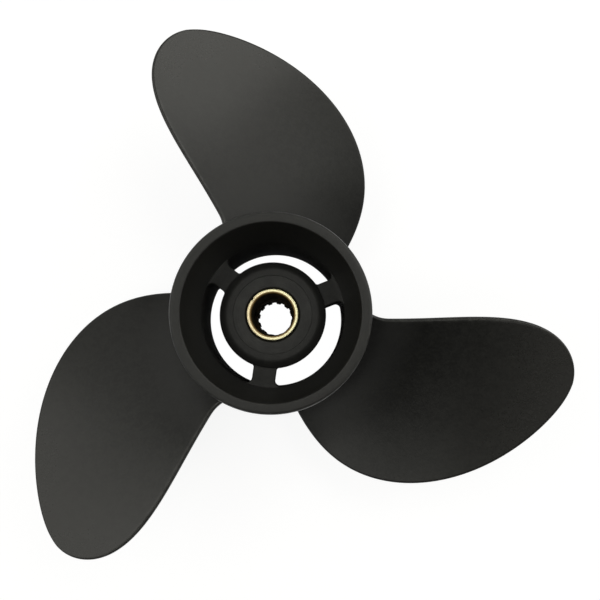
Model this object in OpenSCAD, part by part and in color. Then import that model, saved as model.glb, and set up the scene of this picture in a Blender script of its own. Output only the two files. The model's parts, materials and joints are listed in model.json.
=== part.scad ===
// Three-blade outboard propeller with the exhaust led out through its hub.
// The shaft axis is Z. The forward end stands on Z = 0 and the aft mouth faces up.
// All sizes are in millimetres and degrees.

/* [Splined sleeve] */
// Number of spline grooves
spline_grooves = 12; // [8:1:16]
// Radius at the bottom of the spline grooves
spline_radius = 7.4; // [6:0.05:9]
// Depth of the spline grooves
spline_depth = 0.6; // [0.4:0.05:1.2]
// Angle of the first groove from +X
spline_angle = 4; // [0:1:30]
// Step from the groove bottoms in to the smooth collar behind them
collar_step = 0.35; // [0.1:0.05:0.4]
// Length of the smooth collar behind the spline
collar_length = 6; // [2:0.5:8]
// Step from the groove bottoms out to the washer recess
recess_step = 0.6; // [0.4:0.05:1.5]
// Depth of the washer recess at the aft end
recess_depth = 28; // [4:0.5:30]
// Length of the thrust cone at the forward end
thrust_cone = 2; // [1:0.25:4]
// Wall of the sleeve around the washer recess
sleeve_wall = 1.5; // [1:0.1:4]
// Bevel on the mouth of the washer recess
sleeve_bevel = 0.4; // [0.1:0.05:0.6]
// How far the sleeve stands out of the hub face
sleeve_proud = 0.6; // [0.2:0.1:2]

/* [Rubber cushion] */
// Wall of the rubber cushion
cushion_wall = 5; // [3:0.1:10]
// How far the cushion ends lie inside the hub ends
cushion_setback = 0.4; // [0:0.1:2]
// Bevel on the cushion where it meets the sleeve
cushion_bevel = 0.8; // [0.2:0.1:1.5]
// Radial clearance on both sides of the cushion
fit_gap = 0.05; // [0.02:0.01:0.1]

/* [Inner hub] */
// Length of the inner hub
hub_length = 46.4; // [36:0.1:60]
// Width of the flat ring around the cushion
hub_lip = 1.9; // [1:0.1:5]
// Width of the rounded shoulder
shoulder_width = 3.5; // [2:0.1:6]
// Height of the rounded shoulder
shoulder_height = 4.5; // [2:0.1:8]
// Draft of the casting's passage walls
wall_draft = 2.25; // [0.5:0.25:3]

/* [Ribs] */
// Angle of the first rib from +X
rib_angle = 22; // [0:0.5:119]
// Width of a rib at its aft face
rib_width = 8.8; // [6:0.1:12]
// Draft of the ribs' sides, which thin them towards the forward end
rib_draft = 1.25; // [0.25:0.25:2]
// Fillet at both ends of a rib
rib_fillet = 1.5; // [0.5:0.1:3]
// Depth of the ribs' aft faces below the hub face
rib_drop = 3.4; // [1:0.1:8]

/* [Barrel] */
// Width of the exhaust passage between hub and barrel
exhaust_gap = 7; // [5:0.1:14]
// Barrel wall at the throat
barrel_wall = 5.5; // [3:0.1:8]
// How far the throat crease stands aft of the ribs
throat_rise = 0.3; // [0.1:0.1:2]
// Depth of the open mouth behind the hub face
mouth_depth = 18.8; // [14:0.1:35]
// How far the rim flares out past the barrel
rim_flare = 2.35; // [1:0.05:8]
// Width of the flat aft rim
rim_width = 3.9; // [2:0.1:6]
// Rounding of the rim's outer edge
rim_round = 1.2; // [0.4:0.1:1.8]
// Depth of the register that takes the gearcase boss
register_depth = 7.9; // [4:0.1:12]
// Step from the passage wall out to the register
register_step = 1.6; // [0.5:0.1:1.8]
// Gap from the register's floor to the hub's forward end
front_setback = 0.7; // [0.3:0.1:4]
// Bevel around the forward end
front_bevel = 0.8; // [0.2:0.1:1]

/* [Blades] */
// Radius at the blade tips
tip_radius = 113.4; // [90:0.1:140]
// Pitch, the advance in one turn
pitch = 190.5; // [150:0.5:240]
// Rake of the blades towards aft
rake = 7.7; // [0:0.1:15]
// Angle of the first blade's reference line from +X
blade_angle = 100; // [0:1:119]
// Height of the reference line at the root
blade_height = 41.2; // [32:0.1:50]
// Height of the leading edge's root above the forward end
root_setback = 9; // [7:0.5:16]
// Thickness in the middle of the root
root_thickness = 8; // [5:0.1:12]
// Thickness in the middle of the tip
tip_thickness = 2.4; // [2:0.1:4]
// Thickness of the rounded edges
edge_thickness = 1.8; // [1:0.1:1.9]
// Fillet from the blades' faces to the barrel
root_fillet = 5; // [1:0.1:7]
// Fillet from the trailing edges to the barrel
trail_fillet = 11; // [5:0.5:14]

/* [Hidden] */
$fn = 96;

// The casting repeats three times around the shaft.
third_turn = 120;

// Radii, worked out from the shaft outwards.
spline_tip = spline_radius - spline_depth;
groove_width = PI * (spline_radius + spline_tip) / 2 / spline_grooves;
collar_radius = spline_radius - collar_step;
recess_radius = spline_radius + recess_step;
sleeve_radius = recess_radius + sleeve_wall;
cushion_bore = sleeve_radius + fit_gap;
cushion_radius = cushion_bore + cushion_wall;
hub_bore = cushion_radius + fit_gap;
face_radius = hub_bore + hub_lip;
hub_radius = face_radius + shoulder_width;
throat_radius = hub_radius + exhaust_gap;
barrel_radius = throat_radius + barrel_wall;
rim_radius = barrel_radius + rim_flare;
mouth_radius = rim_radius - rim_width;

// Heights, worked out from the forward end.
hub_front = register_depth + front_setback;
hub_height = hub_front + hub_length;
shoulder_base = hub_height - shoulder_height;
rib_height = hub_height - rib_drop;
throat_height = rib_height + throat_rise;
barrel_length = hub_height + mouth_depth;
sleeve_height = hub_height + sleeve_proud;
recess_base = sleeve_height - recess_depth;
spline_height = recess_base - collar_length;

// The passage walls part by the draft towards the forward end.
function hub_wall(z) =
    z < shoulder_base ? hub_radius - tan(wall_draft) * (shoulder_base - z)
    : face_radius + shoulder_width * sqrt(1 - pow((z - shoulder_base) / shoulder_height, 2));
function passage_wall(z) = throat_radius + tan(wall_draft) * max(throat_height - z, 0);
register_radius = passage_wall(register_depth) + register_step;

// Blade edges, as angles from the reference line at even steps from root to tip.
// The leading root angle sets that corner root_setback above the forward end.
advance = pitch / 360;
tip_angle = 7;
leading_angles = [(root_setback - blade_height) / advance, -47.5, -50.5, -5.5, -1, tip_angle];
trailing_angles = [17, 17.5, 22, 20, 12.5, tip_angle];

// Steps along the blade's span and chord, and around its fillet.
span_steps = 22;
chord_steps = 16;
fillet_turn = 10;
// Depth to which raw blades, ribs and groove cutters run past the walls that they meet.
sink = 1;
arc_steps = 6;

casting_colour = "#2b2c2c";
rubber_colour = "#1c1c1c";
brass_colour = "#c9a24a";

function arc(centre, radii, from, to) = [
    for (i = [0:arc_steps])
        let (a = from + (to - from) * i / arc_steps)
        centre + [radii.x * cos(a), radii.y * sin(a)]
];

function reversed(list) = [for (i = [len(list) - 1:-1:0]) list[i]];

function bezier(values, t) =
    len(values) == 1 ? values[0]
    : bezier([for (i = [0:len(values) - 2]) values[i] + (values[i + 1] - values[i]) * t], t);

// Outlines to revolve, as radius and height.
flare_base = hub_height + root_fillet;
flare_top = barrel_length - rim_round;
barrel_outside = concat(
    [[barrel_radius - front_bevel, 0], [barrel_radius, front_bevel]],
    [for (i = [0:arc_steps - 1])
        let (t = i / arc_steps)
        [barrel_radius + rim_flare * (1 - cos(180 * t)) / 2, flare_base + (flare_top - flare_base) * t]],
    arc([rim_radius - rim_round, flare_top], [rim_round, rim_round], 0, 90)
);
mouth_round = rim_round / 2;
barrel_inside = concat(
    [[passage_wall(register_depth), register_depth], [throat_radius, throat_height]],
    arc([mouth_radius + mouth_round, barrel_length - mouth_round], [mouth_round, mouth_round], 180, 90)
);
hub_outside = concat(
    [[hub_wall(hub_front), hub_front]],
    arc([face_radius, shoulder_base], [shoulder_width, shoulder_height], 0, 90)
);

// The barrel, with its flared aft rim, throat and forward register.
module outer_barrel() {
    register = [[register_radius, register_depth], [register_radius, 0]];
    color(casting_colour)
        rotate_extrude() polygon(concat(barrel_outside, reversed(barrel_inside), register));
}

// The inner hub that holds the cushion.
module inner_hub() {
    bore = [[hub_bore, hub_height], [hub_bore, hub_front]];
    color(casting_colour)
        rotate_extrude() polygon(concat(hub_outside, bore));
}

// Half width of a rib along its length, as radius and half width, at one height.
function rib_side(z) =
    let (inner = hub_wall(z), outer = passage_wall(z))
    let (half = rib_width / 2 - tan(rib_draft) * (rib_height - z))
    concat(
        [[inner - sink, half + rib_fillet]],
        [for (a = [0:30:90]) [inner + rib_fillet * (1 - cos(a)), half + rib_fillet * (1 - sin(a))]],
        [for (a = [90:-30:0]) [outer - rib_fillet * (1 - cos(a)), half + rib_fillet * (1 - sin(a))]],
        [[outer + sink, half + rib_fillet]]
    );

function rib_section(z) =
    let (side = rib_side(z))
    concat(
        [for (p = side) [p.x, -p.y, z]],
        [for (p = reversed(side)) [p.x, p.y, z]]
    );

// A straight web with filleted ends, before the walls trim it.
module rib_web() {
    lower = rib_section(hub_front);
    upper = rib_section(rib_height);
    n = len(lower);
    sides = [for (i = [0:n - 1]) let (j = (i + 1) % n) each [[i, n + i, n + j], [i, n + j, j]]];
    floor = [for (i = [0:n / 2 - 2]) each [[i, i + 1, n - 1 - i], [i + 1, n - 2 - i, n - 1 - i]]];
    roof = [for (f = floor) [n + f[0], n + f[2], n + f[1]]];
    polyhedron(concat(lower, upper), concat(sides, floor, roof));
}

module rib(index) {
    color(casting_colour)
        rotate(rib_angle + index * third_turn)
            difference() {
                rib_web();
                outer_barrel();
                rotate_extrude()
                    polygon(concat([[hub_wall(hub_front), 0]], hub_outside, [[0, hub_height], [0, 0]]));
            }
}

// Blade radius at a share of the span, with the steps closing up towards the tip.
function span_radius(u) = barrel_radius + (tip_radius - barrel_radius) * sin(90 * u);
function span_share(r) = asin(max(r - barrel_radius, 0) / (tip_radius - barrel_radius)) / 90;

// Share of a distance along the chord that lies square to a slanting edge.
function edge_square(angles, u, r) =
    let (d = 0.01, lo = max(u - d, 0), hi = min(u + d, 1))
    let (slope = (bezier(angles, hi) - bezier(angles, lo)) / (span_radius(hi) - span_radius(lo)))
    1 / sqrt(1 + pow(r * slope * PI / 180, 2));

// How far a fillet of radius f on the barrel reaches out at radius r.
function fillet(f, r) =
    let (rest = min(max(f - (r - barrel_radius), 0), f))
    f - sqrt(f * f - rest * rest);

// The loop of points around the blade at radius r: the aft face out from the leading edge,
// then the forward face back to it. The fillets swell the section towards the barrel.
function blade_loop(r) =
    let (
        flare = fillet(root_fillet, r),
        sweep = max(fillet(trail_fillet, r), flare),
        u = span_share(r),
        lead = bezier(leading_angles, u),
        trail = bezier(trailing_angles, u),
        slope = atan(pitch / (2 * PI * r)),
        per_degree = r * PI / 180 / cos(slope),
        spread = flare / per_degree,
        chord = (trail - lead) * per_degree + flare + sweep,
        lead_square = edge_square(leading_angles, u, r),
        trail_square = edge_square(trailing_angles, u, r),
        edge = edge_thickness / 2,
        middle = tip_thickness + (root_thickness - tip_thickness) * (1 - u),
        height = blade_height + tan(rake) * (r - barrel_radius)
    )
    [for (i = [0:2 * chord_steps - 1])
        let (
            aft = i <= chord_steps,
            c = (1 - cos(180 * i / chord_steps)) / 2,
            inset = chord * min(c * lead_square, (1 - c) * trail_square),
            round = sqrt(1 - pow(1 - min(inset / (edge + flare), 1), 2)),
            thick = edge_thickness + (middle - edge_thickness) * 4 * c * (1 - c),
            depth = edge + ((aft ? 0 : thick) - edge + (aft ? -flare : flare)) * round,
            along = lead - spread + c * chord / per_degree,
            angle = along + depth * sin(slope) / r * 180 / PI
        )
        [r * cos(angle), r * sin(angle), height + advance * along - depth * cos(slope)]
    ];

// Radius of each loop, from inside the barrel wall to short of the tip.
fillet_share = span_share(barrel_radius + trail_fillet);
blade_rows = concat(
    [barrel_radius - sink],
    [for (a = [fillet_turn:fillet_turn:90]) barrel_radius + trail_fillet * (1 - cos(a))],
    [for (i = [1:span_steps - 1]) span_radius(fillet_share + (1 - fillet_share) * i / span_steps)]
);
blade_tip = let (depth = edge_thickness / 2, slope = atan(pitch / (2 * PI * tip_radius)))
    let (angle = tip_angle + depth * sin(slope) / tip_radius * 180 / PI)
    [tip_radius * cos(angle), tip_radius * sin(angle),
     blade_height + tan(rake) * (tip_radius - barrel_radius) + advance * tip_angle - depth * cos(slope)];

module blade(index) {
    n = 2 * chord_steps;
    rows = len(blade_rows);
    loops = [for (r = blade_rows) each blade_loop(r)];
    tip = rows * n;
    skin = [for (k = [0:rows - 2], i = [0:n - 1])
        let (j = (i + 1) % n, a = k * n, b = a + n)
        each [[a + i, b + i, b + j], [a + i, b + j, a + j]]];
    cap = [for (i = [0:n - 1]) [tip - n + i, tip, tip - n + (i + 1) % n]];
    ends = [[0, 1, n - 1], [chord_steps - 1, chord_steps, chord_steps + 1]];
    root = [for (i = [1:chord_steps - 2]) each [[i, i + 1, n - i], [i + 1, n - i - 1, n - i]]];
    color(casting_colour)
        rotate(blade_angle + index * third_turn)
            difference() {
                polyhedron(concat(loops, [blade_tip]), concat(skin, cap, ends, root));
                rotate_extrude() polygon(concat(barrel_outside, [[0, barrel_length], [0, 0]]));
            }
}

// The rubber cushion between the sleeve and the hub, which slips when a blade strikes something.
module rubber_cushion() {
    front = hub_front + cushion_setback;
    back = hub_height - cushion_setback;
    color(rubber_colour)
        rotate_extrude() polygon([
            [cushion_bore, front], [cushion_radius, front], [cushion_radius, back],
            [cushion_bore + cushion_bevel, back], [cushion_bore, back - cushion_bevel]
        ]);
}

// The brass sleeve, with its thrust cone, its spline, its smooth collar and its washer recess.
module splined_sleeve() {
    color(brass_colour)
        difference() {
            rotate_extrude() polygon([
                [recess_radius, hub_front], [sleeve_radius, hub_front], [sleeve_radius, sleeve_height],
                [recess_radius + sleeve_bevel, sleeve_height], [recess_radius, sleeve_height - sleeve_bevel],
                [recess_radius, recess_base], [collar_radius, recess_base], [collar_radius, spline_height],
                [spline_tip, spline_height], [spline_tip, hub_front + thrust_cone]
            ]);
            for (i = [0:spline_grooves - 1])
                rotate(spline_angle + 360 * i / spline_grooves)
                    translate([spline_tip - sink, -groove_width / 2, hub_front])
                        cube([spline_depth + sink, groove_width, spline_height + sink - hub_front]);
        }
}

outer_barrel();
inner_hub();
rib(0);  // rib_1
rib(1);  // rib_2
rib(2);  // rib_3
blade(0);  // blade_1
blade(1);  // blade_2
blade(2);  // blade_3
rubber_cushion();
splined_sleeve();
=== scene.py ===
"""The looks of an outboard propeller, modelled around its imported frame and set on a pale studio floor."""

import json
import math

import bmesh
import bpy
from bpy.props import FloatProperty, FloatVectorProperty, IntProperty, PointerProperty
from bpy.types import Operator, Panel, PropertyGroup
from mathutils import Euler, Matrix, Vector


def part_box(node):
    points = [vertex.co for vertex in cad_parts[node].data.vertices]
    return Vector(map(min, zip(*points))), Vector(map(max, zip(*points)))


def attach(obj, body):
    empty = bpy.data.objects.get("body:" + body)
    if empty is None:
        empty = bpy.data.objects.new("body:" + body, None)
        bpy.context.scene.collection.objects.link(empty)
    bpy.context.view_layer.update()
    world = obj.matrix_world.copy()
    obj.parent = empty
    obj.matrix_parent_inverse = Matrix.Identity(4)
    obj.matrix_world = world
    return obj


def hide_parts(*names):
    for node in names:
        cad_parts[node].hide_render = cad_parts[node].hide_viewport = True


bl_info = {
    "name": "Outboard Propeller",
    "version": (1, 0, 0),
    "blender": (4, 5, 0),
    "location": "View3D > Sidebar > Propeller",
    "description": "Models the casting, the rubber cushion and the brass sleeve of a boat propeller",
    "category": "Object",
}

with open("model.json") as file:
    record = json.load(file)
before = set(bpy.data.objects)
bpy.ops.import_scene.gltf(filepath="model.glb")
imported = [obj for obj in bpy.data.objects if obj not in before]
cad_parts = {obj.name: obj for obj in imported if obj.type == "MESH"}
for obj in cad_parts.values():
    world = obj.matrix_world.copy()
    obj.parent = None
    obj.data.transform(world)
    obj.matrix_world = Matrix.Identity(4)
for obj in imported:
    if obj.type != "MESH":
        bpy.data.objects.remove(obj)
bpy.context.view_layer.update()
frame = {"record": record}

# Places taken from the frame, in metres.
MM = 0.001
BARREL_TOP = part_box("outer_barrel")[1]
HUB_LOW, HUB_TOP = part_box("inner_hub")
RIB_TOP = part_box("rib_1")[1]
CUSHION_LOW, CUSHION_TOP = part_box("rubber_cushion")
SLEEVE_LOW, SLEEVE_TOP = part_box("splined_sleeve")
MOUNT_SIZES = {mount["name"]: mount["dims"] for mount in frame["record"]["mounts"]}
REGISTER = MOUNT_SIZES["forward_register"]
RECESS = MOUNT_SIZES["aft_recess"]

BLADES = 3
THIRD_TURN = math.tau / BLADES
TURN_STEPS = 192
ARC_STEPS = 6
MERGE = 0.002 * MM
SMOOTH_ANGLE = math.radians(32)
CLIP_START = 0.01

# Fineness of the patterns in the finishes, in waves to the metre.
PATCHES = 28.0
BLOOM = 160.0
MOTTLE = 330.0
SCUFFS = 420.0
STAINS = 700.0
GRAIN = 900.0
RUBBER_GRAIN = 1800.0
ORANGE_PEEL = 2600.0

# Stretches of distance from the shaft over which the paint changes and painted fill light and painted
# highlights fade in and out.
WALL_THICKNESS = (31.2 * MM, 32.0 * MM)
ROOT_FILL_START = (38 * MM, 45 * MM)
ROOT_FILL_END = (45 * MM, 58 * MM)
TIP_SHEEN_SPAN = (60 * MM, 115 * MM)

# Spacing of the rings on the moulded rubber and on the turned brass.
MOULD_RINGS = 0.9 * MM
TOOL_RINGS = 0.12 * MM

# Each lamp's name, turn and rise in degrees, width and height in metres, and brightness.
LAMPS = (
    ("right_softbox", 50, 58, (0.7, 0.45), 2.2),
    ("right_panel", 18, 31, (1.2, 0.9), 0.95),
    ("left_softbox", 154, 57, (0.9, 0.45), 1.27),
    ("left_panel", 184, 40, (1.3, 0.45), 1.0),
    ("back_panel", 115, 30, (1.1, 0.9), 0.5),
    ("low_softbox", 222, 58, (0.4, 0.4), 1.25),
    ("front_softbox", 275, 70, (0.5, 0.4), 0.85),
    ("front_panel", 326, 24, (0.7, 0.5), 0.35),
    ("side_softbox", 350, 50, (0.7, 0.45), 0.4),
    ("top_softbox", 124, 86, (0.3, 0.3), 1.75),
)


def length(name, default, description):
    """A size in metres."""
    return FloatProperty(name=name, description=description, default=default, unit="LENGTH",
                         subtype="DISTANCE", precision=5)


def angle(name, degrees, description):
    """An angle, given in degrees."""
    return FloatProperty(name=name, description=description, default=math.radians(degrees),
                         unit="ROTATION", subtype="ANGLE")


def angles(name, degrees, description):
    """A row of angles, given in degrees."""
    return FloatVectorProperty(name=name, description=description, size=len(degrees),
                               default=[math.radians(d) for d in degrees], unit="ROTATION")


def colour(name, default, description):
    """A linear colour."""
    return FloatVectorProperty(name=name, description=description, default=default, size=3,
                               subtype="COLOR", min=0, max=1)


def roughness(name, default, description):
    """How dull a finish is, from 0 for a mirror to 1."""
    return FloatProperty(name=name, description=description, default=default, min=0, max=1, subtype="FACTOR")


def place(name, default, description):
    """A point in metres."""
    return FloatVectorProperty(name=name, description=description, default=default, size=3,
                               subtype="TRANSLATION", unit="LENGTH", precision=5)


class BarrelSettings(PropertyGroup):
    """Sizes of the barrel."""

    radius: length("Radius", 32.5 * MM, "Outer radius of the barrel where the blades stand")
    rim_radius: length("Rim radius", BARREL_TOP.x, "Outer radius of the flared aft rim")
    length: length("Length", BARREL_TOP.z, "Length from the forward end to the aft rim")
    flare_base: length("Flare start", 60 * MM, "Height at which the aft flare begins")
    rim_width: length("Rim width", 3.9 * MM, "Width of the aft rim")
    rim_round: length("Rim rounding", 1.2 * MM, "Rounding of the rim's outer edge")
    mouth_round: length("Mouth rounding", 0.6 * MM, "Rounding of the rim's inner edge")
    throat_radius: length("Throat radius", 27 * MM, "Inner radius at the crease beside the ribs")
    throat_height: length("Throat height", RIB_TOP.z + 0.3 * MM, "Height of the crease beside the ribs")
    throat_round: length("Crease rounding", 0.5 * MM, "Half width of the rounded crease")
    draft: angle("Draft", 2.25, "Draft of the passage walls")
    register_radius: length("Register radius", REGISTER["r_mm"] * MM, "Radius of the forward register")
    register_depth: length("Register depth", REGISTER["length_mm"] * MM, "Depth of the forward register")
    front_bevel: length("Forward bevel", 0.8 * MM, "Bevel around the forward end")


class HubSettings(PropertyGroup):
    """Sizes of the inner hub and the ribs."""

    bore: length("Bore", 14.6 * MM, "Radius of the bore that holds the cushion")
    radius: length("Radius", HUB_TOP.x, "Radius below the rounded shoulder")
    shoulder_width: length("Shoulder width", 3.5 * MM, "Width of the rounded shoulder")
    shoulder_height: length("Shoulder height", 4.5 * MM, "Height of the rounded shoulder")
    shoulder_power: FloatProperty(name="Shoulder fullness", default=1.7, min=1,
                                  description="Fullness of the shoulder: 1 is a bevel, 2 an ellipse")
    bevel: length("Bevel", 0.08 * MM, "Bevel on the bore's edges and the forward end")
    rib_angle: angle("Rib angle", 22, "Angle of the first rib from +X")
    rib_width: length("Rib width", 8.8 * MM, "Width of a rib at its aft face")
    rib_draft: angle("Rib draft", 1.25, "Draft that thins the ribs towards the forward end")
    rib_fillet: length("Rib fillet", 2 * MM, "Fillet from a rib to the barrel")
    rib_root_fillet: length("Rib root fillet", 1 * MM, "Fillet from a rib to the hub")
    rib_round: length("Rib rounding", 0.5 * MM, "Rounding of the ribs' aft edges")
    rib_sink: length("Rib sink", 1 * MM, "How far the ribs run into the walls they join")


class BladeSettings(PropertyGroup):
    """Sizes of the blades."""

    tip_radius: length("Tip radius", 113.36 * MM, "Radius at the blade tips")
    pitch: length("Pitch", 190.5 * MM, "Advance in one turn")
    rake: angle("Rake", 7.7, "Lean of the blades towards aft")
    first_angle: angle("First blade", 100, "Angle of the first blade's reference line from +X")
    root_height: length("Root height", 41.2 * MM, "Height of the reference line at the root")
    root_setback: length("Root setback", 9 * MM, "Height of the leading edge's root")
    root_thickness: length("Root thickness", 8 * MM, "Thickness in the middle of the root")
    tip_thickness: length("Tip thickness", 2.4 * MM, "Thickness in the middle of the tip")
    edge_thickness: length("Edge thickness", 1.8 * MM, "Thickness of the rounded edges")
    root_fillet: length("Root fillet", 5 * MM, "Fillet from the faces to the barrel")
    trail_fillet: length("Trailing fillet", 11 * MM, "Fillet from the trailing edge to the barrel")
    root_sink: length("Root sink", 1 * MM, "How far the blades run into the barrel wall")
    tip_angle: angle("Tip angle", 7, "Angle of the tip from the reference line")
    leading_angles: angles("Leading edge", (-47.5, -50.5, -5.5, -1),
                           "Leading edge from root to tip, as angles at even steps")
    trailing_angles: angles("Trailing edge", (17, 17.5, 22, 20, 12.5),
                            "Trailing edge from root to tip, as angles at even steps")


class CushionSettings(PropertyGroup):
    """Sizes of the rubber cushion."""

    bore: length("Bore", 9.55 * MM, "Radius of the bore around the sleeve")
    groove: length("Groove", 0.8 * MM, "Width of the groove where the rubber meets the sleeve")
    groove_depth: length("Groove depth", 1.3 * MM, "Depth of the groove where the rubber meets the sleeve")
    setback: length("Setback", 0.12 * MM, "How far the aft face lies below the hub's face")
    round: length("Rounding", 0.06 * MM, "Rounding of the outer edges")
    crown: length("Crown", 0.1 * MM, "How far the aft face swells between its edges")


class SleeveSettings(PropertyGroup):
    """Sizes of the brass sleeve."""

    grooves: IntProperty(name="Grooves", description="Number of spline grooves", default=12)
    first_groove: angle("First groove", 4, "Angle of the first groove from +X")
    groove_radius: length("Groove radius", 7.4 * MM, "Radius at the bottom of the grooves")
    land_radius: length("Land radius", 6.8 * MM, "Radius at the top of the lands")
    recess_radius: length("Recess radius", RECESS["r_mm"] * MM, "Radius of the aft recess")
    recess_depth: length("Recess depth", 28 * MM, "Depth of the aft recess")
    collar_radius: length("Collar radius", 7.05 * MM, "Radius of the smooth collar behind the spline")
    collar_length: length("Collar length", 6 * MM, "Length of the smooth collar behind the spline")
    thrust_cone: length("Thrust cone", 2 * MM, "Length of the cone at the forward end")
    mouth_round: length("Mouth rounding", 0.4 * MM, "Rounding of the mouth of the recess")
    edge_round: length("Edge rounding", 0.2 * MM, "Rounding of the outer edges")
    dent_angle: angle("Dent angle", 143, "Angle of the dent in the aft face from +X")
    dent_size: length("Dent size", 0.45 * MM, "Reach of the dent in the aft face")


class FinishSettings(PropertyGroup):
    """Colours of the finishes, some of which are painted light and shade on them."""

    barrel_satin: roughness("Barrel roughness", 0.32, "Roughness of the paint on the barrel")
    hub_satin: roughness("Hub roughness", 0.5, "Roughness of the paint on the inner hub")
    rib_satin: roughness("Rib roughness", 0.48, "Roughness of the paint on the ribs")
    blade_satin: roughness("Blade roughness", 0.25, "Roughness of the paint on the blades")
    paint: colour("Paint", (0.0085, 0.0085, 0.0078), "Satin black paint on the casting")
    paint_dust: colour("Paint dust", (0.016, 0.016, 0.0145), "Lighter cast of the paint in patches")
    # Scuffed paint along the edges, also painted lighter as a painted highlight on their rounding.
    rubbed_and_sheen: colour("Rubbed edge", (0.032, 0.032, 0.029), "Paint rubbed thin along the edges")
    # Painted fill light: a lighter paint colour that lifts the shade on the barrel's inner walls, on the
    # steep walls of the hub and ribs and low on the blades, and gives the rim flat a painted reflection.
    painted_fill: colour("Fill_light_paint", (0.03, 0.03, 0.0285), "Dry paint inside the barrel and low on the blades")
    # Painted highlight: a paler paint colour for the blade tips, standing in for the light they catch.
    tip_sheen: colour("Washed paint", (0.031, 0.0285, 0.0235), "Paint that water has worn at the blade tips")
    rubber: colour("Rubber", (0.017, 0.017, 0.016), "Rubber of the cushion")
    rubber_dust: colour("Rubber dust", (0.03, 0.03, 0.028), "Bloom on the rubber")
    brass: colour("Brass", (0.97, 0.91, 0.58), "Bright brass of the sleeve's face")
    # Redder brass, used for real stains and, over the -X side of the face, as painted shade.
    brass_stain_and_shade: colour("Brass stain", (0.8, 0.65, 0.42), "Redder stains on the brass")
    oil: colour("Oil", (0.03, 0.021, 0.011), "Oil-blackened brass inside the bore")
    tarnish: colour("Tarnish", (0.12, 0.075, 0.03), "Brown brass inside the bore")
    # Painted light: a lighter brown for the bore near the mouth of the recess, where light falls in.
    brass_mouth_light: colour("Brass edge", (0.5, 0.31, 0.1), "Brown brass along the mouth of the recess")
    floor: colour("Floor", (0.88, 0.88, 0.88), "Studio floor, in full shade")
    floor_shade: colour("Floor shade", (0.25, 0.25, 0.25), "What the lamps add to the floor")


class StageSettings(PropertyGroup):
    """Camera and light."""

    camera_place: place("Camera place", (7.87 * MM, -11.83 * MM, 294.44 * MM), "Where the camera stands")
    camera_tilt: angles("Camera tilt", (4.117, -0.546, 0), "Camera angles about X, Y and Z")
    camera_lens: FloatProperty(name="Lens", description="Focal length", default=38.93, unit="CAMERA")
    floor_size: length("Floor size", 6, "Side of the floor")
    shadow_reach: length("Shadow reach", 0.2, "Distance at which the floor starts to turn white")
    floor_drop: length("Floor drop", 0.1 * MM, "Gap that keeps the floor clear of the forward end")
    ambient: FloatProperty(name="Ambient", description="Brightness of the surroundings", default=0.05)
    lamp_distance: length("Lamp distance", 1.2, "Distance from the hub to each softbox")
    lamp_colour: colour("Lamp colour", (1.0, 0.995, 0.93), "Colour of the softboxes")


class PropellerSettings(PropertyGroup):
    """Everything about the propeller that can be changed."""

    barrel: PointerProperty(type=BarrelSettings)
    hub: PointerProperty(type=HubSettings)
    blade: PointerProperty(type=BladeSettings)
    cushion: PointerProperty(type=CushionSettings)
    sleeve: PointerProperty(type=SleeveSettings)
    finish: PointerProperty(type=FinishSettings)
    stage: PointerProperty(type=StageSettings)


# Shader trees written as Python expressions.


class Signal:
    """A shader socket that takes part in Python arithmetic."""

    def __init__(self, tree, socket):
        self.tree = tree
        self.socket = socket

    def math(self, operation, first, second=0.0):
        return self.tree.node("ShaderNodeMath", "Value", {"operation": operation}, {0: first, 1: second})

    def __add__(self, other):
        return self.math("ADD", self, other)

    def __radd__(self, other):
        return self.math("ADD", other, self)

    def __sub__(self, other):
        return self.math("SUBTRACT", self, other)

    def __rsub__(self, other):
        return self.math("SUBTRACT", other, self)

    def __mul__(self, other):
        return self.math("MULTIPLY", self, other)

    def __rmul__(self, other):
        return self.math("MULTIPLY", other, self)

    def __pow__(self, other):
        return self.math("POWER", self, other)

    def __abs__(self):
        return self.math("ABSOLUTE", self)


class ShaderTree:
    """A node tree that is filled by expressions."""

    def __init__(self, owner):
        owner.use_nodes = True
        self.nodes = owner.node_tree.nodes
        self.links = owner.node_tree.links
        self.nodes.clear()

    def find(self, sockets, key):
        """A socket by its number, identifier or name."""
        if isinstance(key, int):
            return sockets[key]
        for socket in sockets:
            if key in (socket.identifier, socket.name):
                return socket
        raise KeyError(key)

    def node(self, kind, output, settings=None, sockets=None):
        """Adds a node with its settings and socket values, and returns one output as a signal."""
        node = self.nodes.new(kind)
        for key, value in (settings or {}).items():
            setattr(node, key, value)
        for key, value in (sockets or {}).items():
            socket = self.find(node.inputs, key)
            if isinstance(value, Signal):
                self.links.new(value.socket, socket)
            elif socket.type == "RGBA":
                socket.default_value = (*value[:3], 1.0)
            else:
                socket.default_value = value
        return Signal(self, self.find(node.outputs, output)) if output else node

    def position(self):
        return self.node("ShaderNodeTexCoord", "Object")

    def axes(self, vector):
        """The three numbers of a vector."""
        node = self.node("ShaderNodeSeparateXYZ", None, None, {"Vector": vector})
        return [Signal(self, node.outputs[name]) for name in "XYZ"]

    def noise(self, vector, scale, detail):
        return self.node("ShaderNodeTexNoise", "Fac", None,
                         {"Vector": vector, "Scale": scale, "Detail": detail})

    def step(self, value, low, high):
        """A smooth step from 0 at low to 1 at high."""
        return self.node("ShaderNodeMapRange", "Result", {"interpolation_type": "SMOOTHSTEP"},
                         {"Value": value, "From Min": low, "From Max": high})

    def mix(self, share, first, second):
        """A colour between two colours."""
        return self.node("ShaderNodeMix", "Result_Color", {"data_type": "RGBA"},
                         {"Factor_Float": share, "A_Color": first, "B_Color": second})

    def bump(self, height, distance, strength):
        return self.node("ShaderNodeBump", "Normal", None,
                         {"Height": height, "Distance": distance, "Strength": strength})

    def surface(self, shader):
        self.node("ShaderNodeOutputMaterial", None, None, {"Surface": shader})


def new_material(name):
    """A material and its empty shader tree."""
    material = bpy.data.materials.new(name)
    return material, ShaderTree(material)


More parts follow.
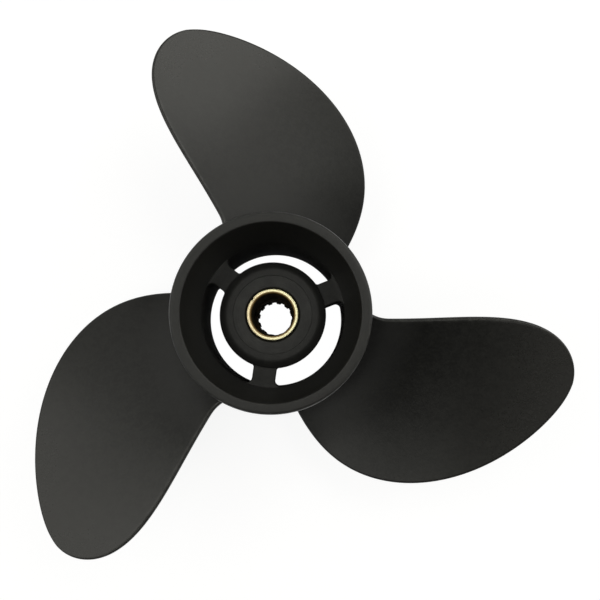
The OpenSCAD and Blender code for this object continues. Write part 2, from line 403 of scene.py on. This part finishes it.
def cast_paint(name, finish, satin, rubbed_and_sheen=None, fill_mask=None, smooth=None):
    """Black paint of a given roughness, with masks for edges scuffed thin and painted lighter as a painted
    highlight, for painted fill light that lightens and dulls shaded areas, and for tips that are smoothed
    and painted paler as a painted highlight.
    """
    material, tree = new_material(name)
    point = tree.position()
    patches = tree.noise(point, PATCHES, 3.0)
    mottle = tree.noise(point, MOTTLE, 2.0)
    grain = tree.noise(point, GRAIN, 3.0)
    peel = tree.noise(point, ORANGE_PEEL, 1.0)
    dust = tree.step(patches, 0.4, 0.75) * 0.4 + tree.step(mottle, 0.35, 0.65) * 0.5
    dust = dust + tree.step(grain, 0.4, 0.65) * 0.5
    base = tree.mix(dust, finish.paint, finish.paint_dust)
    dullness = satin + 0.1 * patches + 0.06 * grain
    relief = grain + 0.4 * peel
    # Painted fill light: where the mask is set, the paint is painted lighter to lift the shade, and it is
    # made duller.
    if fill_mask:
        dull = fill_mask(tree) * (0.75 + 0.5 * patches)
        base = tree.mix(dull, base, finish.painted_fill)
        dullness = dullness + 0.15 * dull
    # Painted highlight: the tips are painted paler, and made smoother with less relief.
    if smooth:
        tip_sheen = smooth(tree)
        base = tree.mix(0.25 * tip_sheen, base, finish.tip_sheen)
        dullness = dullness - 0.06 * tip_sheen
        relief = relief * (1 - 0.6 * tip_sheen)
    # Along the edges the paint is scuffed thin in patches and painted lighter and glossier, partly as real
    # wear and partly as a painted highlight.
    if rubbed_and_sheen:
        wear_and_sheen = rubbed_and_sheen(tree) * tree.step(tree.noise(point, SCUFFS, 3.0), 0.36, 0.6)
        base = tree.mix(wear_and_sheen, base, finish.rubbed_and_sheen)
        dullness = dullness - 0.06 * wear_and_sheen
    tree.surface(tree.node("ShaderNodeBsdfPrincipled", "BSDF", None, {
        "Base Color": base,
        "Roughness": dullness,
        "Normal": tree.bump(relief, 0.05 * MM, 0.6),
    }))
    return material


def from_shaft(tree):
    """Distance from the shaft axis."""
    x, y, _ = tree.axes(tree.position())
    return (x * x + y * y) ** 0.5


def blade_edges(tree):
    """The edges of a blade, from the way around its section, where the paint is scuffed thin and also
    painted lighter as a painted highlight. The trailing edge's band is wider, as a painted highlight along
    its rounding.
    """
    around = tree.axes(tree.node("ShaderNodeTexCoord", "UV"))[0]
    leading = abs(around * 2 - 1)
    return 0.5 * tree.step(leading, 0.95, 0.98) + tree.step(1 - leading, 0.89, 0.95)


def blade_roots(tree):
    """The lower part of a blade past its fillet, painted lighter as painted fill light that lifts the shade
    near the barrel.
    """
    out = from_shaft(tree)
    return 0.65 * (tree.step(out, *ROOT_FILL_START) - tree.step(out, *ROOT_FILL_END))


def blade_tips(tree):
    """The outer part of a blade, which the water wears smooth, painted paler as a painted highlight."""
    return tree.step(from_shaft(tree), *TIP_SHEEN_SPAN)


def rim_edge(tree):
    """The outer corner of the aft rim, where the paint is scuffed thin and also painted lighter as a painted
    highlight.
    """
    height = tree.axes(tree.position())[2]
    return (tree.step(from_shaft(tree), BARREL_TOP.x - 1.0 * MM, BARREL_TOP.x - 0.3 * MM)
            * tree.step(height, BARREL_TOP.z - 1.6 * MM, BARREL_TOP.z - 0.8 * MM))


def passage_walls(tree):
    """The steep walls inside the barrel, painted lighter as painted fill light where they lie in shade."""
    flat = abs(tree.axes(tree.node("ShaderNodeTexCoord", "Normal"))[2])
    inside = 1 - tree.step(from_shaft(tree), *WALL_THICKNESS)
    return inside * (1 - tree.step(flat, 0.4, 0.9))


def barrel_fill_light(tree):
    """The barrel's inner walls, painted lighter as painted fill light and more so deeper down, and its rim
    flat a little less, as a painted reflection of the light from above.
    """
    height = tree.axes(tree.position())[2]
    rim = tree.step(height, BARREL_TOP.z - 0.5 * MM, BARREL_TOP.z - 0.1 * MM)
    deep = 1 - tree.step(height, RIB_TOP.z, BARREL_TOP.z)
    return passage_walls(tree) * (0.3 + 0.7 * deep) + 0.4 * rim


def moulded_rubber(finish):
    """Dull moulded rubber with a dusty bloom and faint rings from its mould."""
    material, tree = new_material("moulded_rubber")
    point = tree.position()
    bloom = tree.step(tree.noise(point, BLOOM, 4.0), 0.4, 0.7)
    grain = tree.noise(point, RUBBER_GRAIN, 2.0)
    out = from_shaft(tree)
    rings = out.math("SINE", out * (math.tau / MOULD_RINGS))
    tree.surface(tree.node("ShaderNodeBsdfPrincipled", "BSDF", None, {
        "Base Color": tree.mix(bloom, finish.rubber, finish.rubber_dust),
        "Roughness": 0.52 + 0.14 * grain,
        "Normal": tree.bump(grain + 0.2 * rings, 0.05 * MM, 0.6),
    }))
    return material


def turned_brass(finish, sleeve):
    """Bright turned brass on the face with painted shade towards -X, oil-darkened inside the bore with
    painted light towards the mouth of the recess.
    """
    material, tree = new_material("turned_brass")
    point = tree.position()
    out = from_shaft(tree)
    rings = out.math("SINE", out * (math.tau / TOOL_RINGS))
    stains = tree.noise(point, STAINS, 3.0)
    across, _, height = tree.axes(point)
    recess = sleeve.recess_radius
    face = tree.step(out, recess + 0.25 * MM, recess + 0.75 * MM)
    # Painted shade: the face is painted redder towards -X.
    shaded_side = 1 - tree.step(across, -1.2 * recess, 0.2 * recess)
    # Painted light: the bore is painted lighter towards the mouth of the recess.
    mouth = tree.step(height, SLEEVE_TOP.z - 5 * MM, SLEEVE_TOP.z - 0.2 * MM)
    bright = tree.mix(tree.step(stains, 0.4, 0.8) * 0.3 + 0.7 * shaded_side, finish.brass, finish.brass_stain_and_shade)
    dark = tree.mix(tree.step(stains, 0.45, 0.75), finish.oil, finish.tarnish)
    dark = tree.mix(mouth * 0.6, dark, finish.brass_mouth_light)
    tree.surface(tree.node("ShaderNodeBsdfPrincipled", "BSDF", None, {
        "Base Color": tree.mix(face, dark, bright),
        "Metallic": 0.35 + 0.65 * face,
        "Roughness": 0.55 - 0.35 * face + 0.06 * stains,
        "Normal": tree.bump(rings, 0.001 * MM, 0.5),
    }))
    return material


# Mesh tools.


def add_primitive(operator, name, **options):
    """Adds a primitive with nothing else selected, and returns its object."""
    bpy.ops.object.select_all(action="DESELECT")
    operator(**options)
    piece = bpy.context.object
    piece.name = name
    piece.data.name = name
    bpy.ops.object.transform_apply(location=True, rotation=True, scale=True)
    return piece


def close_skin():
    """Merges the doubles of the mesh in edit mode, fills its holes and points its faces outwards."""
    bpy.ops.mesh.select_all(action="SELECT")
    bpy.ops.mesh.remove_doubles(threshold=MERGE)
    bpy.ops.mesh.fill_holes(sides=0)
    bpy.ops.mesh.select_all(action="SELECT")
    bpy.ops.mesh.normals_make_consistent(inside=False)


def arc(centre, radius, start, end):
    """Points on a rounded corner between two angles in degrees, as distances from the shaft and heights."""
    turns = [math.radians(start + (end - start) * i / ARC_STEPS) for i in range(ARC_STEPS + 1)]
    return [(centre[0] + radius * math.cos(t), centre[1] + radius * math.sin(t)) for t in turns]


def turned(name, profile):
    """A ring turned about the shaft axis: a circle is extruded and resized along a closed profile."""
    radius, height = profile[0]
    piece = add_primitive(bpy.ops.mesh.primitive_circle_add, name, vertices=TURN_STEPS, radius=radius,
                          location=(0, 0, height))
    bpy.ops.object.mode_set(mode="EDIT")
    bpy.ops.mesh.select_all(action="SELECT")
    for last, new in zip(profile, profile[1:] + profile[:1]):
        share = new[0] / last[0]
        bpy.ops.mesh.extrude_region_move(TRANSFORM_OT_translate={"value": (0, 0, new[1] - last[1])})
        bpy.ops.transform.resize(value=(share, share, 1), center_override=(0, 0, new[1]))
    close_skin()
    bpy.ops.object.mode_set(mode="OBJECT")
    return piece


def wrapped(name, rings):
    """A grid rolled into a closed skin through rings of points."""
    columns = len(rings[0])
    rows = len(rings) - 1
    piece = add_primitive(bpy.ops.mesh.primitive_grid_add, name, x_subdivisions=columns,
                          y_subdivisions=rows, size=2)
    for vertex in piece.data.vertices:
        column = round((vertex.co.x + 1) / 2 * columns) % columns
        row = round((vertex.co.y + 1) / 2 * rows)
        vertex.co = rings[row][column]
    bpy.ops.object.mode_set(mode="EDIT")
    close_skin()
    bpy.ops.object.mode_set(mode="OBJECT")
    return piece


def finished(piece, node, body, material):
    """Smooths and paints a piece, and puts it in place of its CAD node."""
    bpy.ops.object.select_all(action="DESELECT")
    piece.select_set(True)
    bpy.context.view_layer.objects.active = piece
    bpy.ops.object.shade_smooth_by_angle(angle=SMOOTH_ANGLE)
    piece.data.materials.clear()
    piece.data.materials.append(material)
    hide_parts(node)
    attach(piece, body)


def turned_copies(piece, names, first_angle):
    """Copies of a piece at even angles around the shaft, each with its own mesh. The piece is the first."""
    copies = []
    for index, name in enumerate(names):
        copy = piece if index == 0 else piece.copy()
        if index:
            copy.data = copy.data.copy()
            bpy.context.scene.collection.objects.link(copy)
        copy.name = name
        copy.data.name = name
        copies.append(copy)
    for index, copy in enumerate(copies):
        copy.data.transform(Matrix.Rotation(first_angle + index * THIRD_TURN, 4, "Z"))
    return copies


def passage_wall(barrel, height):
    """Radius of the exhaust passage's outer wall."""
    return barrel.throat_radius + math.tan(barrel.draft) * max(barrel.throat_height - height, 0)


def hub_wall(hub, draft, height):
    """Radius of the exhaust passage's inner wall."""
    shoulder_base = HUB_TOP.z - hub.shoulder_height
    if height < shoulder_base:
        return hub.radius - math.tan(draft) * (shoulder_base - height)
    rise = min((height - shoulder_base) / hub.shoulder_height, 1)
    fall = 1 - rise ** hub.shoulder_power
    return hub.radius - hub.shoulder_width * (1 - fall ** (1 / hub.shoulder_power))


def bezier(values, share):
    """The value at a share of the way along a curve with these control values."""
    while len(values) > 1:
        values = [a + (b - a) * share for a, b in zip(values, values[1:])]
    return values[0]


class BladeForm:
    """The helical blade as a formula."""

    SLOPE_STEP = 0.01

    def __init__(self, blade, root_radius):
        self.blade = blade
        self.root = root_radius
        self.reach = blade.tip_radius - root_radius
        self.advance = blade.pitch / math.tau
        first = (blade.root_setback - blade.root_height) / self.advance
        self.leading = [first, *blade.leading_angles, blade.tip_angle]
        self.trailing = [*blade.trailing_angles, blade.tip_angle]

    def radius(self, share):
        """Radius at a share of the span, with the steps closing up towards the tip."""
        return self.root + self.reach * math.sin(share * math.pi / 2)

    def share(self, radius):
        return math.asin(min(max(radius - self.root, 0) / self.reach, 1)) * 2 / math.pi

    def fillet(self, size, radius):
        """How far a fillet on the barrel reaches out at a radius."""
        rest = min(max(size - (radius - self.root), 0), size)
        return size - math.sqrt(size * size - rest * rest)

    def square(self, edge, share, radius):
        """Share of a distance along the chord that lies square to a slanting edge."""
        low = max(share - self.SLOPE_STEP, 0)
        high = min(share + self.SLOPE_STEP, 1)
        slope = (bezier(edge, high) - bezier(edge, low)) / (self.radius(high) - self.radius(low))
        return 1 / math.sqrt(1 + (radius * slope) ** 2)

    def ring(self, radius, steps):
        """Points around the section, along the aft face from the leading edge and back along the other."""
        blade = self.blade
        share = self.share(radius)
        flare = self.fillet(blade.root_fillet, radius)
        sweep = max(self.fillet(blade.trail_fillet, radius), flare)
        slope = math.atan(self.advance / radius)
        stretch = radius / math.cos(slope)
        lead = bezier(self.leading, share) - flare / stretch
        trail = bezier(self.trailing, share) + sweep / stretch
        chord = (trail - lead) * stretch
        lead_square = self.square(self.leading, share, radius)
        trail_square = self.square(self.trailing, share, radius)
        edge = blade.edge_thickness / 2
        middle = blade.tip_thickness + (blade.root_thickness - blade.tip_thickness) * (1 - share)
        height = blade.root_height + math.tan(blade.rake) * (radius - self.root)
        points = []
        for i in range(2 * steps):
            c = (1 - math.cos(math.pi * i / steps)) / 2
            inset = chord * min(c * lead_square, (1 - c) * trail_square)
            full = math.sqrt(1 - (1 - min(inset / (edge + flare), 1)) ** 2)
            thick = blade.edge_thickness + (middle - blade.edge_thickness) * 4 * c * (1 - c)
            face = -flare if i <= steps else thick + flare
            depth = edge + (face - edge) * full
            along = lead + c * (trail - lead)
            turn = along + depth * math.sin(slope) / radius
            points.append(Vector((radius * math.cos(turn), radius * math.sin(turn),
                                  height + self.advance * along - depth * math.cos(slope))))
        return points

    def rings(self, chord_steps, fillet_steps, span_steps):
        """All rings, from a line inside the barrel wall that closes the root to the point of the tip."""
        root = self.ring(self.root - self.blade.root_sink, chord_steps)
        line = [(point + root[-i]) / 2 for i, point in enumerate(root)]
        return [line, root, *(self.ring(r, chord_steps) for r in self.radii(fillet_steps, span_steps))]

    def radii(self, fillet_steps, span_steps):
        """Radii of the rings outside the barrel wall, close together in the root fillet and at the tip."""
        size = self.blade.trail_fillet
        turns = [math.pi / 2 * i / fillet_steps for i in range(1, fillet_steps + 1)]
        first = self.share(self.root + size)
        shares = [first + (1 - first) * i / span_steps for i in range(1, span_steps + 1)]
        return [*(self.root + size * (1 - math.cos(t)) for t in turns), *(self.radius(s) for s in shares)]


def settings(context):
    return context.scene.propeller


class PROPELLER_OT_barrel(Operator):
    """Turn the barrel with its flared aft rim, its throat and its forward register"""

    bl_idname = "propeller.barrel"
    bl_label = "Barrel"

    FLARE_STEPS = 14

    def execute(self, context):
        barrel = settings(context).barrel
        rim = barrel.rim_radius
        top = barrel.length
        flare_top = top - barrel.rim_round
        mouth = rim - barrel.rim_width
        floor = barrel.register_depth
        edge = barrel.front_bevel / 2
        flare = []
        for i in range(self.FLARE_STEPS):
            share = i / self.FLARE_STEPS
            out = barrel.radius + (rim - barrel.radius) * (1 - math.cos(math.pi * share)) / 2
            flare.append((out, barrel.flare_base + (flare_top - barrel.flare_base) * share))
        throat = barrel.throat_radius
        crease = barrel.throat_round
        wall_lean = (mouth - throat) / (top - barrel.mouth_round - barrel.throat_height)
        profile = [
            (barrel.register_radius + edge, 0),
            (barrel.radius - barrel.front_bevel, 0),
            (barrel.radius, barrel.front_bevel),
            *flare,
            *arc((rim - barrel.rim_round, flare_top), barrel.rim_round, 0, 90),
            *arc((mouth + barrel.mouth_round, top - barrel.mouth_round), barrel.mouth_round, 90, 180),
            (throat + wall_lean * crease, barrel.throat_height + crease),
            (throat + wall_lean * crease / 4, barrel.throat_height),
            (passage_wall(barrel, barrel.throat_height - crease), barrel.throat_height - crease),
            (passage_wall(barrel, floor), floor),
            (barrel.register_radius, floor),
            (barrel.register_radius, edge),
        ]
        piece = turned("barrel", profile)
        finish = settings(context).finish
        # The barrel gets painted fill light inside, a painted reflection on its rim flat and a painted
        # highlight on the rim's outer corner.
        paint = cast_paint("barrel_paint", finish, finish.barrel_satin, rim_edge, barrel_fill_light)
        finished(piece, "outer_barrel", "casting", paint)
        return {"FINISHED"}


class PROPELLER_OT_hub(Operator):
    """Turn the inner hub with its rounded shoulder"""

    bl_idname = "propeller.hub"
    bl_label = "Inner hub"

    SHOULDER_STEPS = 16

    def execute(self, context):
        hub = settings(context).hub
        draft = settings(context).barrel.draft
        front = HUB_LOW.z
        top = HUB_TOP.z
        foot = hub_wall(hub, draft, front)
        shoulder = []
        for i in range(self.SHOULDER_STEPS + 1):
            height = top - hub.shoulder_height * (1 - math.sin(math.pi / 2 * i / self.SHOULDER_STEPS))
            shoulder.append((hub_wall(hub, draft, height), height))
        profile = [
            (hub.bore + hub.bevel, front),
            (foot - hub.bevel, front),
            (foot, front + hub.bevel),
            *shoulder,
            (hub.bore + hub.bevel, top),
            (hub.bore, top - hub.bevel),
            (hub.bore, front + hub.bevel),
        ]
        piece = turned("hub", profile)
        finish = settings(context).finish
        # The hub's steep walls get painted fill light.
        paint = cast_paint("hub_paint", finish, finish.hub_satin, None, passage_walls)
        finished(piece, "inner_hub", "casting", paint)
        return {"FINISHED"}


class PROPELLER_OT_ribs(Operator):
    """Model one rib with filleted ends and rounded aft edges, and copy it around the shaft"""

    bl_idname = "propeller.ribs"
    bl_label = "Ribs"

    FILLET_STEPS = 5
    ROUND_STEPS = 4

    def side(self, context, height, inset):
        """Points along one side of the rib, from inside the hub to inside the barrel wall."""
        hub = settings(context).hub
        barrel = settings(context).barrel
        half = hub.rib_width / 2 - math.tan(hub.rib_draft) * (RIB_TOP.z - height) - inset
        inner = hub_wall(hub, barrel.draft, height)
        outer = passage_wall(barrel, height)
        near = self.fillet(inner + hub.rib_root_fillet, half, hub.rib_root_fillet, math.pi)
        far = self.fillet(outer - hub.rib_fillet, half, hub.rib_fillet, 0)
        first = near[0] * (inner - hub.rib_sink) / inner
        last = far[0] * (outer + hub.rib_sink) / outer
        return [first, *near, *reversed(far), last]

    def fillet(self, reach, half, radius, facing):
        """A fillet from a round wall to the rib's side, whose centre lies a reach away from the shaft."""
        rise = half + radius
        centre = Vector((math.sqrt(reach * reach - rise * rise), rise))
        start = math.atan2(centre.y, centre.x) + facing
        end = -math.pi / 2 if facing == 0 else math.pi * 3 / 2
        turns = [start + (end - start) * i / self.FILLET_STEPS for i in range(self.FILLET_STEPS + 1)]
        return [centre + radius * Vector((math.cos(t), math.sin(t))) for t in turns]

    def execute(self, context):
        hub = settings(context).hub
        top = RIB_TOP.z
        levels = [(HUB_LOW.z, 0.0)]
        for i in range(self.ROUND_STEPS + 1):
            turn = math.pi / 2 * i / self.ROUND_STEPS
            levels.append((top - hub.rib_round * (1 - math.sin(turn)), hub.rib_round * (1 - math.cos(turn))))
        rings = []
        for height, inset in levels:
            side = self.side(context, height, inset)
            right = [Vector((point.x, -point.y, height)) for point in side]
            left = [Vector((point.x, point.y, height)) for point in reversed(side)]
            rings.append(right + left)
        rib = wrapped("rib", rings)
        names = [f"rib_web_{i + 1}" for i in range(BLADES)]
        finish = settings(context).finish
        # The ribs' steep sides get painted fill light.
        paint = cast_paint("rib_paint", finish, finish.rib_satin, None, passage_walls)
        for i, piece in enumerate(turned_copies(rib, names, hub.rib_angle)):
            finished(piece, f"rib_{i + 1}", "casting", paint)
        return {"FINISHED"}


class PROPELLER_OT_blades(Operator):
    """Wrap a grid around the helical blade with its filleted root, and copy it around the shaft"""

    bl_idname = "propeller.blades"
    bl_label = "Blades"

    CHORD_STEPS = 56
    FILLET_STEPS = 14
    SPAN_STEPS = 64

    def execute(self, context):
        form = BladeForm(settings(context).blade, settings(context).barrel.radius)
        blade = wrapped("blade", form.rings(self.CHORD_STEPS, self.FILLET_STEPS, self.SPAN_STEPS))
        names = [f"blade_skin_{i + 1}" for i in range(BLADES)]
        finish = settings(context).finish
        paint = cast_paint("blade_paint", finish, finish.blade_satin, blade_edges, blade_roots, blade_tips)
        for i, piece in enumerate(turned_copies(blade, names, settings(context).blade.first_angle)):
            finished(piece, f"blade_{i + 1}", "casting", paint)
        return {"FINISHED"}


class PROPELLER_OT_cushion(Operator):
    """Turn the rubber cushion with its crowned aft face"""

    bl_idname = "propeller.cushion"
    bl_label = "Rubber cushion"

    CROWN_STEPS = 8
    LIP_SHARE = 0.3

    def execute(self, context):
        cushion = settings(context).cushion
        out = CUSHION_TOP.x
        front = CUSHION_LOW.z
        back = HUB_TOP.z - cushion.setback
        soft = cushion.round
        lip = cushion.bore + cushion.groove
        swell = []
        for i in range(1, self.CROWN_STEPS):
            share = i / self.CROWN_STEPS
            swell.append((out - soft + (lip - out + soft) * share,
                          back + cushion.crown * math.sin(math.pi * share)))
        profile = [
            *arc((cushion.bore + soft, front + soft), soft, 180, 270),
            *arc((out - soft, front + soft), soft, 270, 360),
            *arc((out - soft, back - soft), soft, 0, 90),
            *swell,
            (lip, back),
            (lip - self.LIP_SHARE * cushion.groove, back - self.LIP_SHARE * cushion.groove_depth),
            (cushion.bore, back - cushion.groove_depth),
        ]
        piece = turned("cushion", profile)
        finished(piece, "rubber_cushion", "cushion", moulded_rubber(settings(context).finish))
        return {"FINISHED"}


class PROPELLER_OT_sleeve(Operator):
    """Turn the brass sleeve and widen its bore into spline grooves"""

    bl_idname = "propeller.sleeve"
    bl_label = "Splined sleeve"

    DENT_SHARE = 0.6

    def execute(self, context):
        sleeve = settings(context).sleeve
        out = SLEEVE_TOP.x
        front = SLEEVE_LOW.z
        top = SLEEVE_TOP.z
        edge = sleeve.edge_round
        mouth = sleeve.mouth_round
        recess = sleeve.recess_radius
        recess_base = top - sleeve.recess_depth
        spline_top = recess_base - sleeve.collar_length
        profile = [
            (recess, front),
            *arc((out - edge, front + edge), edge, 270, 360),
            *arc((out - edge, top - edge), edge, 0, 90),
            *arc((recess + mouth, top - mouth), mouth, 90, 180),
            (recess, recess_base),
            (sleeve.collar_radius, recess_base),
            (sleeve.collar_radius, spline_top),
            (sleeve.land_radius, spline_top),
            (sleeve.land_radius, front + sleeve.thrust_cone),
        ]
        piece = turned("sleeve", profile)
        self.cut_grooves(piece, sleeve)
        self.dent(piece, sleeve)
        finished(piece, "splined_sleeve", "shaft_sleeve",
                 turned_brass(settings(context).finish, sleeve))
        return {"FINISHED"}

    def cut_grooves(self, piece, sleeve):
        """Selects every second stretch of the bore's wall and moves it out to the groove bottoms."""
        bpy.ops.object.mode_set(mode="EDIT")
        bpy.ops.mesh.select_mode(type="VERT")
        bpy.ops.mesh.select_all(action="DESELECT")
        mesh = bmesh.from_edit_mesh(piece.data)
        tooth = math.tau / sleeve.grooves
        for vertex in mesh.verts:
            turn = math.atan2(vertex.co.y, vertex.co.x) - sleeve.first_groove
            from_groove = abs((turn + tooth / 2) % tooth - tooth / 2)
            bore_wall = vertex.co.xy.length < sleeve.land_radius + MERGE
            vertex.select = bore_wall and from_groove < tooth / 4
        mesh.select_flush_mode()
        bmesh.update_edit_mesh(piece.data)
        share = sleeve.groove_radius / sleeve.land_radius
        bpy.ops.transform.resize(value=(share, share, 1), center_override=(0, 0, 0))
        bpy.ops.object.mode_set(mode="OBJECT")

    def dent(self, piece, sleeve):
        """Knocks a small dent into the outer edge of the aft face."""
        bpy.ops.object.mode_set(mode="EDIT")
        bpy.ops.mesh.select_all(action="DESELECT")
        mesh = bmesh.from_edit_mesh(piece.data)
        outward = Vector((math.cos(sleeve.dent_angle), math.sin(sleeve.dent_angle), 0))
        spot = outward * SLEEVE_TOP.x + Vector((0, 0, SLEEVE_TOP.z))
        for vertex in mesh.verts:
            vertex.select = (vertex.co - spot).length < sleeve.dent_size
        mesh.select_flush_mode()
        bmesh.update_edit_mesh(piece.data)
        push = (outward + Vector((0, 0, 1))) * -sleeve.dent_size * self.DENT_SHARE
        bpy.ops.transform.translate(value=push)
        bpy.ops.object.mode_set(mode="OBJECT")


class PROPELLER_OT_stage(Operator):
    """Set the floor, the surroundings, the lamps and the camera"""

    bl_idname = "propeller.stage"
    bl_label = "Stage"

    def execute(self, context):
        stage = settings(context).stage
        self.floor(stage, settings(context).finish)
        self.surroundings(context, stage)
        for lamp in LAMPS:
            self.lamp(stage, *lamp)
        self.camera(context, stage)
        context.scene.view_settings.view_transform = "Standard"
        return {"FINISHED"}

    def camera(self, context, stage):
        """A camera at the photograph's place."""
        bpy.ops.object.camera_add(location=stage.camera_place, rotation=stage.camera_tilt)
        camera = bpy.context.object
        camera.data.lens = stage.camera_lens
        camera.data.clip_start = CLIP_START
        context.scene.camera = camera

    def floor(self, stage, finish):
        """A pale floor that stays white to the camera, keeps a soft shadow and is clear from below. Beneath
        the barrel it glows white to diffuse rays, as painted light on the passage walls.
        """
        floor = add_primitive(bpy.ops.mesh.primitive_plane_add, "floor", size=stage.floor_size,
                              location=(0, 0, -stage.floor_drop))
        material, tree = new_material("studio_floor")
        rays = tree.node("ShaderNodeLightPath", None)
        camera, diffuse, glossy, through = (Signal(tree, rays.outputs[f"Is {kind} Ray"])
                                            for kind in ("Camera", "Diffuse", "Glossy", "Transmission"))
        out = from_shaft(tree)
        outside = tree.step(out, REGISTER["r_mm"] * MM, BARREL_TOP.x)
        far = tree.step(out, stage.shadow_reach, 3 * stage.shadow_reach)
        shaded = tree.node("ShaderNodeBsdfDiffuse", "BSDF", None, {"Color": finish.floor_shade})
        white = tree.node("ShaderNodeEmission", "Emission", None, {"Color": (1, 1, 1), "Strength": 1.0})
        pale = tree.node("ShaderNodeEmission", "Emission", None, {"Color": finish.floor, "Strength": 1.0})
        plain = tree.node("ShaderNodeBsdfDiffuse", "BSDF", None, {"Color": finish.floor})
        seen = tree.node("ShaderNodeAddShader", "Shader", None, {0: pale, 1: shaded})
        seen = tree.node("ShaderNodeMixShader", "Shader", None, {0: outside * (1 - far), 1: white, 2: seen})
        # Painted light: beneath the barrel the floor glows white to diffuse rays and looks plain to glossy
        # rays; outside it, glossy and transmission rays see it white and diffuse rays see the plain floor.
        reflected_and_glow = tree.node("ShaderNodeMixShader", "Shader", None,
                             {0: (glossy + through) * outside + diffuse * (1 - outside), 1: plain, 2: white})
        shader = tree.node("ShaderNodeMixShader", "Shader", None, {0: camera, 1: reflected_and_glow, 2: seen})
        below = tree.node("ShaderNodeNewGeometry", "Backfacing")
        clear = tree.node("ShaderNodeBsdfTransparent", "BSDF")
        tree.surface(tree.node("ShaderNodeMixShader", "Shader", None, {0: below, 1: shader, 2: clear}))
        floor.data.materials.append(material)

    def surroundings(self, context, stage):
        """Dim even light from all around, white to the camera."""
        world = bpy.data.worlds.new("studio")
        context.scene.world = world
        tree = ShaderTree(world)
        camera = tree.node("ShaderNodeLightPath", "Is Camera Ray")
        dim = tree.node("ShaderNodeBackground", "Background", None, {"Strength": stage.ambient})
        white = tree.node("ShaderNodeBackground", "Background", None, {"Color": (1, 1, 1), "Strength": 1.0})
        shader = tree.node("ShaderNodeMixShader", "Shader", None, {0: camera, 1: dim, 2: white})
        tree.node("ShaderNodeOutputWorld", None, None, {"Surface": shader})

    def lamp(self, stage, name, turn, rise, size, brightness):
        """A rectangular softbox that faces the hub from a turn and a rise in degrees."""
        aim = Vector((0, 0, HUB_TOP.z))
        away = Vector((stage.lamp_distance, 0, 0))
        away.rotate(Euler((0, -math.radians(rise), math.radians(turn))))
        facing = away.to_track_quat("Z", "Y").to_euler()
        bpy.ops.object.light_add(type="AREA", location=aim + away, rotation=facing)
        lamp = bpy.context.object
        lamp.name = name
        lamp.data.shape = "RECTANGLE"
        lamp.data.size, lamp.data.size_y = size
        lamp.data.color = stage.lamp_colour
        lamp.data.energy = math.pi * size[0] * size[1] * brightness
        lamp.visible_camera = False


OPERATORS = (
    PROPELLER_OT_barrel,
    PROPELLER_OT_hub,
    PROPELLER_OT_ribs,
    PROPELLER_OT_blades,
    PROPELLER_OT_cushion,
    PROPELLER_OT_sleeve,
    PROPELLER_OT_stage,
)


class PROPELLER_PT_sidebar(Panel):
    """The propeller's pieces in the sidebar"""

    bl_idname = "PROPELLER_PT_sidebar"
    bl_label = "Propeller"
    bl_space_type = "VIEW_3D"
    bl_region_type = "UI"
    bl_category = "Propeller"

    def draw(self, context):
        for operator in OPERATORS:
            self.layout.operator(operator.bl_idname)
        for group in ("barrel", "hub", "blade", "cushion", "sleeve", "finish", "stage"):
            box = self.layout.box()
            values = getattr(settings(context), group)
            for name in values.bl_rna.properties.keys():
                if name not in ("rna_type", "name"):
                    box.prop(values, name)


CLASSES = (
    BarrelSettings,
    HubSettings,
    BladeSettings,
    CushionSettings,
    SleeveSettings,
    FinishSettings,
    StageSettings,
    PropellerSettings,
    *OPERATORS,
    PROPELLER_PT_sidebar,
)


def register():
    for cls in CLASSES:
        bpy.utils.register_class(cls)
    bpy.types.Scene.propeller = PointerProperty(type=PropellerSettings)


def unregister():
    del bpy.types.Scene.propeller
    for cls in reversed(CLASSES):
        bpy.utils.unregister_class(cls)


def main():
    """Registers the add-on and builds every piece and the stage."""
    register()
    bpy.ops.propeller.barrel()
    bpy.ops.propeller.hub()
    bpy.ops.propeller.ribs()
    bpy.ops.propeller.blades()
    bpy.ops.propeller.cushion()
    bpy.ops.propeller.sleeve()
    bpy.ops.propeller.stage()


if __name__ == "__main__":
    main()
